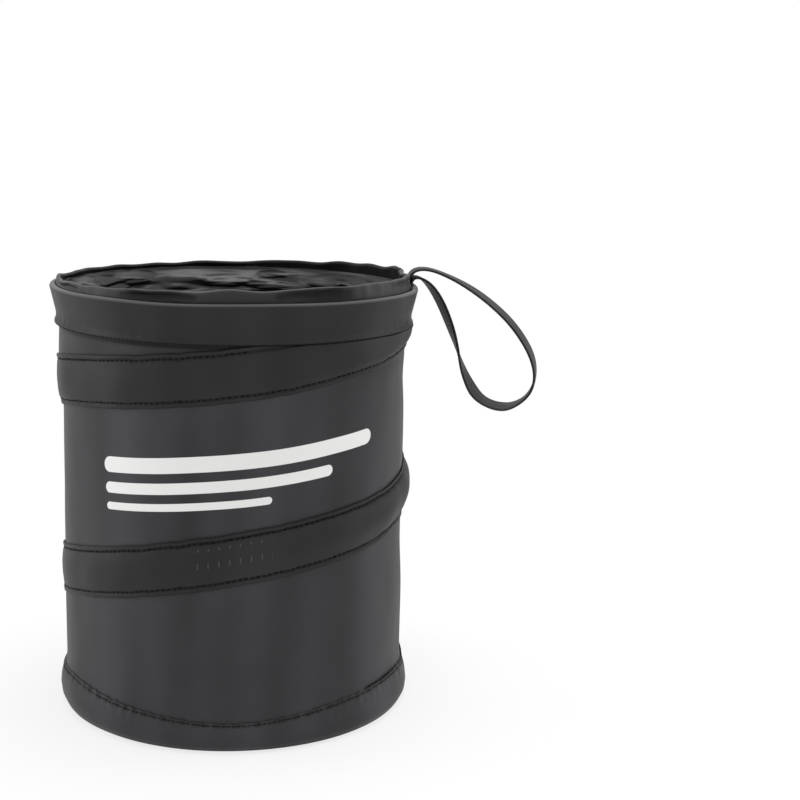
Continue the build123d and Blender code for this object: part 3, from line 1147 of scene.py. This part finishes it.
# %% [markdown]
# ## Lining
# Folds, wrinkles, puff and tucks are added up to how far the lining stands in from the wall. Where they
# meet they could reach far into the bin, so the sum is held to seven millimetres, and the inside stays
# free. At its top the lining is drawn out to the hem, and it makes the same room for the strap's tails.

# %% Lining
lining_radius, lining_thick, deepest = 78.8, 0.3, 7.0
lining_in = np.clip(folds + mouth_puff + tucks + wrinkles, 0, deepest)
drawn_up = 2.6 * eased(lining_up, 194.5, 198.2)
beside_tails = tail_shift * tail_room(lining_turns) * eased(lining_up, 186, 192)
lining_reach = lining_radius - lining_in + drawn_up - beside_tails
both_reach, both_up = two_faces(lining_reach, lining_up, lining_thick)
lining_across = np.concatenate([both_up[0], both_up[0, :1]])
lining = ring_skin("lining_cloth", lining_turns, both_reach, both_up, lining_across)
seat(lining, "base", "liner_cloth", liner_cloth, "liner")
print("lining stands in by up to", round(float(lining_in.max()), 1), "mm")

# %% [markdown]
# ## Bottoms
# The bin has two round bottoms: the outer panel and, just above it, the lining's floor. A filled circle
# would be flat and without thickness. Each is a ring whose section runs out along the top and back along
# the bottom, so the same skin makes it, and shallow waves that die out towards the seam make it cloth.

# %% Bottoms
disc_turns = ring_turns(144)
disc_rows, disc_hole = 26, 0.4


def disc(name, radius, low, thick, wave, seed):
    """A round panel of cloth."""
    outward = np.linspace(disc_hole, radius, disc_rows)
    inward = np.linspace(radius, disc_hole, disc_rows)
    out = np.concatenate([outward, inward])[None, :]
    top = np.concatenate([np.full(disc_rows, thick), np.zeros(disc_rows)])[None, :]
    x, y = out * np.cos(2 * math.pi * disc_turns), out * np.sin(2 * math.pi * disc_turns)
    waves = np.sin(x / 9 + seed) * np.sin(y / 11 + 2 * seed) + np.sin(x / 23 - seed) * np.cos(y / 19)
    calm = 1 - eased(out, radius - 12, radius)
    height = low + top + wave * (1 + waves / 2) * calm
    return ring_skin(name, disc_turns, out + 0 * disc_turns, height, round_section(out, top))


base_panel = disc("base_panel", 79.4, 0.0, 0.6, 0.1, 1.3)
seat(base_panel, "base", "shell_cloth", shell_cloth, "base_disc")
lining_floor = disc("lining_floor", 79.0, 0.85, 0.35, 0.5, 2.1)
seat(lining_floor, "base", "liner_cloth", liner_cloth, "liner_floor")
print("bottoms", base_panel.name, lining_floor.name)

# %% [markdown]
# ## Spring
# The spring is hidden, but it holds the bin open: one steel strip on edge, in the sleeve, and in the rim
# and the foot at its ends. A bevelled curve could draw it in one piece. It is made in three runs instead,
# because the rim carries the top turn down while the foot keeps the lowest one, and the coil between them
# is pressed flat.

# %% Spring
strip_thick, strip_high = 0.7, 4.0
strip_section = np.array([(-0.5, 0.5), (-0.5, -0.5), (0.5, -0.5), (0.5, 0.5)]) * (strip_thick, strip_high)
strip_across = round_section(strip_section[None, :, 0], strip_section[None, :, 1])
stations_per_turn = 110


def spring_reach(turn, height):
    """Middle radius of the strip: in the sleeve, behind the wall at the foot's seam, or in the rim."""
    at_foot_seam = eased(turn, 1.9, 1.955) * (1 - eased(turn, 2.06, 2.12))
    in_sleeve = wall_reach(turn, height) + 0.45 - 1.55 * at_foot_seam
    in_rim = 81.8 + 0.2 * np.clip(height - 188, 0, None)
    return in_sleeve + (in_rim - in_sleeve) * eased(height, 183, 190)


def spring_run(name, first, last, body):
    """One run of the strip between two turns, seated on a body."""
    turn = np.linspace(first, last, int(stations_per_turn * (last - first)))[:, None]
    middle = coil_height(turn)
    points = around(turn, spring_reach(turn, middle) + strip_section[:, 0], middle + strip_section[:, 1])
    run = skin(name, points, turn[:, 0] * girth, strip_across, ring=False)
    run.data.shade_flat()
    return seat(run, body, "spring_steel", spring_steel, "spring")


rim_run_end, foot_run_start = -0.03, 2.02
spring_run("spring_rim_turn", -1.02, rim_run_end, "rim")
spring_coil = spring_run("spring_coil", rim_run_end, foot_run_start, "base")
spring_run("spring_foot_turn", foot_run_start, 2.98, "base")
print("spring coil of", len(spring_coil.data.polygons), "faces between its two end turns")

# %% [markdown]
# ## One row of stitches
# Each stitch is a short length of thread that dips into the cloth at both ends. A dashed line in the
# finish would be flat, and stitches are what the light catches along a seam. So a small barrel of points,
# thin at its ends, is repeated along the seam's course. A whole row is one mesh, because a thousand
# objects would be slow to handle.

# %% Stitch row
barrel = [(-0.5, 0.25, -0.25), (-0.42, 0.75, 0.0), (-0.2, 1.0, 0.12)]
barrel += [(-along, size, dip) for along, size, dip in barrel[::-1]]
sides = 6
corner_angles = np.linspace(0, 2 * math.pi, sides, endpoint=False)
ring_count = len(barrel)


def stitch_row(name, first, last, course, pitch, length=1.7, thick=0.27):
    """A row of stitches along course(turn), which gives a radius and a height in millimetres."""
    count = int((last - first) * girth / pitch)
    vertices, faces = [], []
    for turn in first + (np.arange(count) + 0.5) * pitch / girth:
        base = len(vertices)
        for along, size, dip in barrel:
            here = turn + along * length / girth
            radius, height = course(np.array(here))
            for angle in corner_angles:
                out = float(radius) + dip + thick * size * math.cos(angle)
                vertices.append(around(here, out, float(height) + thick * size * math.sin(angle)))
        for start in range(base, base + sides * (ring_count - 1), sides):
            for c in range(sides):
                following = (c + 1) % sides
                faces.append((start + c, start + following, start + sides + following, start + sides + c))
        faces.append(tuple(base + c for c in range(sides)))
        faces.append(tuple(base + sides * ring_count - 1 - c for c in range(sides)))
    mesh = bpy.data.meshes.new(name)
    mesh.from_pydata(vertices, [], faces)
    mesh.uv_layers.new(name="cloth")
    return make_piece(name, mesh)


faces_in_stitch = sides * (ring_count - 1) + 2
print("one stitch has", faces_in_stitch, "faces")

# %% [markdown]
# ## Stitching
# Four seams show their thread: both edges of the sleeve, the rim's welt and the foot's upper edge.
# Particles along a curve could scatter the stitches. Here each row follows the same function as the cloth
# under it, so it stays in its groove. Where the sleeve runs in under the rim or the foot, its rows stop.

# %% Stitching
def sleeve_course(lie):
    """The course of a stitch line on the sleeve."""

    def course(turn):
        height = sleeve_place(turn, lie)
        return wall_reach(turn, height) + 0.42, height

    return course


def rim_course(turn):
    """The course of the stitches on the rim's welt, which is level."""
    return 83.5, 182.4


def foot_course(turn):
    """The course of the stitches just under the foot's seam."""
    return 82.6, 0.92 * foot_seam(turn)


sleeve_pitch, band_pitch, ring_end = 2.6, 2.2, 0.999
upper_row = stitch_row("sleeve_upper_stitches", 0.24, 1.98, sleeve_course(upper_stitch), sleeve_pitch)
lower_row = stitch_row("sleeve_lower_stitches", 0.0, 1.8, sleeve_course(lower_stitch), sleeve_pitch)
rim_row = stitch_row("rim_stitches", 0.0, ring_end, rim_course, band_pitch, length=1.4, thick=0.45)
foot_row = stitch_row("foot_stitches", 0.0, ring_end, foot_course, band_pitch)
rows = {upper_row: "base", lower_row: "base", rim_row: "rim", foot_row: "base"}
for row, body in rows.items():
    seat(row, body, "shell_cloth", thread)
print("stitches", [len(row.data.polygons) // faces_in_stitch for row in rows])

# %% [markdown]
# ## Meshes of their own
# When the rim is pushed down, the cloth between rim and foot is pressed together. Real cloth crumples
# between the turns, which shape keys could show, but only for one way of folding. Here the wall, the
# sleeve, the spring's coil, the sleeve's two rows of stitches and the lining only get meshes of their
# own; nothing flattens them.

# %% Own meshes
for piece in (wall, sleeve, spring_coil, upper_row, lower_row):
    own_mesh(piece)
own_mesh(lining)

# %% [markdown]
# ## Cut sizes
# Cloth hardly stretches, so each piece has the size that it was cut to before it was sewn. It could be
# measured on the meshes, but they leave out what is turned in or gathered. No sizes are written down
# here.

# %% Cut sizes
print("no cut sizes are written here")

# %% [markdown]
# ## Lamps
# The bin was photographed in a bright studio. Broad lamps at both sides draw the cloth's upright sheen,
# and one above lights the rim and the mouth. A single sun would do for shape, but its shadow would be
# hard. Area lamps are large for the bin, so light and shadow stay soft.

# %% Lamps
def lamp(name, place, aim, size, power):
    """A soft rectangular lamp that shines at a point."""
    data = bpy.data.lights.new(name, "AREA")
    data.shape = "RECTANGLE"
    data.size, data.size_y = size
    data.energy = power
    made = bpy.data.objects.new(name, data)
    made.location = place
    made.rotation_euler = (Vector(aim) - Vector(place)).to_track_quat("-Z", "Y").to_euler()
    scene.collection.objects.link(made)


lamp("left_lamp", (-1.0, 0.1, 0.42), (0, 0, 0.11), (0.5, 0.9), 2.7)
lamp("right_lamp", (1.0, 0.15, 0.4), (0, 0, 0.11), (0.5, 0.9), 1.4)
lamp("top_lamp", (0.1, 0.05, 1.1), (0, 0, 0.15), (0.7, 0.7), 6.0)

# %% [markdown]
# ## White surroundings
# Behind the bin all is white. A brighter world would make it so, but would also wash the cloth out. So
# the world asks what kind of ray meets it: to the camera, and in a gloss or through a clear piece, it is
# plain white, and for all other light it is dimmer.

# %% White surroundings
def seen_rays(brush):
    """1 for rays that come from the camera, or by way of a gloss or a clear piece."""
    straight = brush.node("ShaderNodeLightPath")
    return (straight + straight.beside("Is Glossy Ray") + straight.beside("Is Transmission Ray")).kept()


plain_light = 0.7
world = bpy.data.worlds.new("studio")
scene.world = world
world.use_nodes = True
background = world.node_tree.nodes["Background"]
background.inputs["Color"].default_value = (1, 1, 1, 1)
world_light = seen_rays(Pattern(world.node_tree)) * (1 - plain_light) + plain_light
world.node_tree.links.new(world_light.socket, background.inputs["Strength"])
print("world lights the bin at", plain_light)

# %% [markdown]
# ## Floor
# The bin stands on a level floor without an edge in sight. A backdrop with a curved sweep is usual in a
# studio, but it would get in the way when the camera is moved round the bin. One wide square is enough.
# It lies a hair below the bin, so that the two never fight for the same pixels.

# %% Floor
floor_half, floor_drop = 6, 0.0004
floor_corners = [(-floor_half, -floor_half, 0), (floor_half, -floor_half, 0)]
floor_corners += [(floor_half, floor_half, 0), (-floor_half, floor_half, 0)]
floor_mesh = bpy.data.meshes.new("floor")
floor_mesh.from_pydata(floor_corners, [], [(0, 1, 2, 3)])
floor = bpy.data.objects.new("floor", floor_mesh)
floor.location.z = -floor_drop
scene.collection.objects.link(floor)
print("floor", 2 * floor_half, "m wide")

# %% [markdown]
# ## Floor finish
# The floor is pale and fades to white. A plain white finish would turn grey away from the lamps. So the
# same trick as for the world mixes a glow into it where it is seen: full white further off, and less near
# the bin, where its soft shadow has to show.

# %% Floor finish
pale = bpy.data.materials.new("pale_floor")
pale.use_nodes = True
tree = pale.node_tree
tree.nodes.remove(tree.nodes["Principled BSDF"])
paper = Pattern(tree)
spot = paper.node("ShaderNodeNewGeometry")
away = paper.node("ShaderNodeVectorMath", {"operation": "LENGTH"}, {0: spot}, output=1)
least_glow, glow_starts, glow_climb = 0.75, 0.1, 4.0
bright = ((away - glow_starts) * glow_climb).kept() * (1 - least_glow) + least_glow
diffuse = paper.node("ShaderNodeBsdfDiffuse", None, {"Color": (0.93, 0.93, 0.93, 1)})
glow = paper.node("ShaderNodeEmission", None, {"Color": (1, 1, 1, 1), "Strength": 1.0})
mixed = paper.node("ShaderNodeMixShader", None, {0: seen_rays(paper) * bright, 1: diffuse, 2: glow})
tree.links.new(mixed.socket, tree.nodes["Material Output"].inputs["Surface"])
floor_mesh.materials.append(pale)
print("floor glows from", least_glow, "beside the bin to 1 further off")

# %% [markdown]
# ## End
# The script ends here.
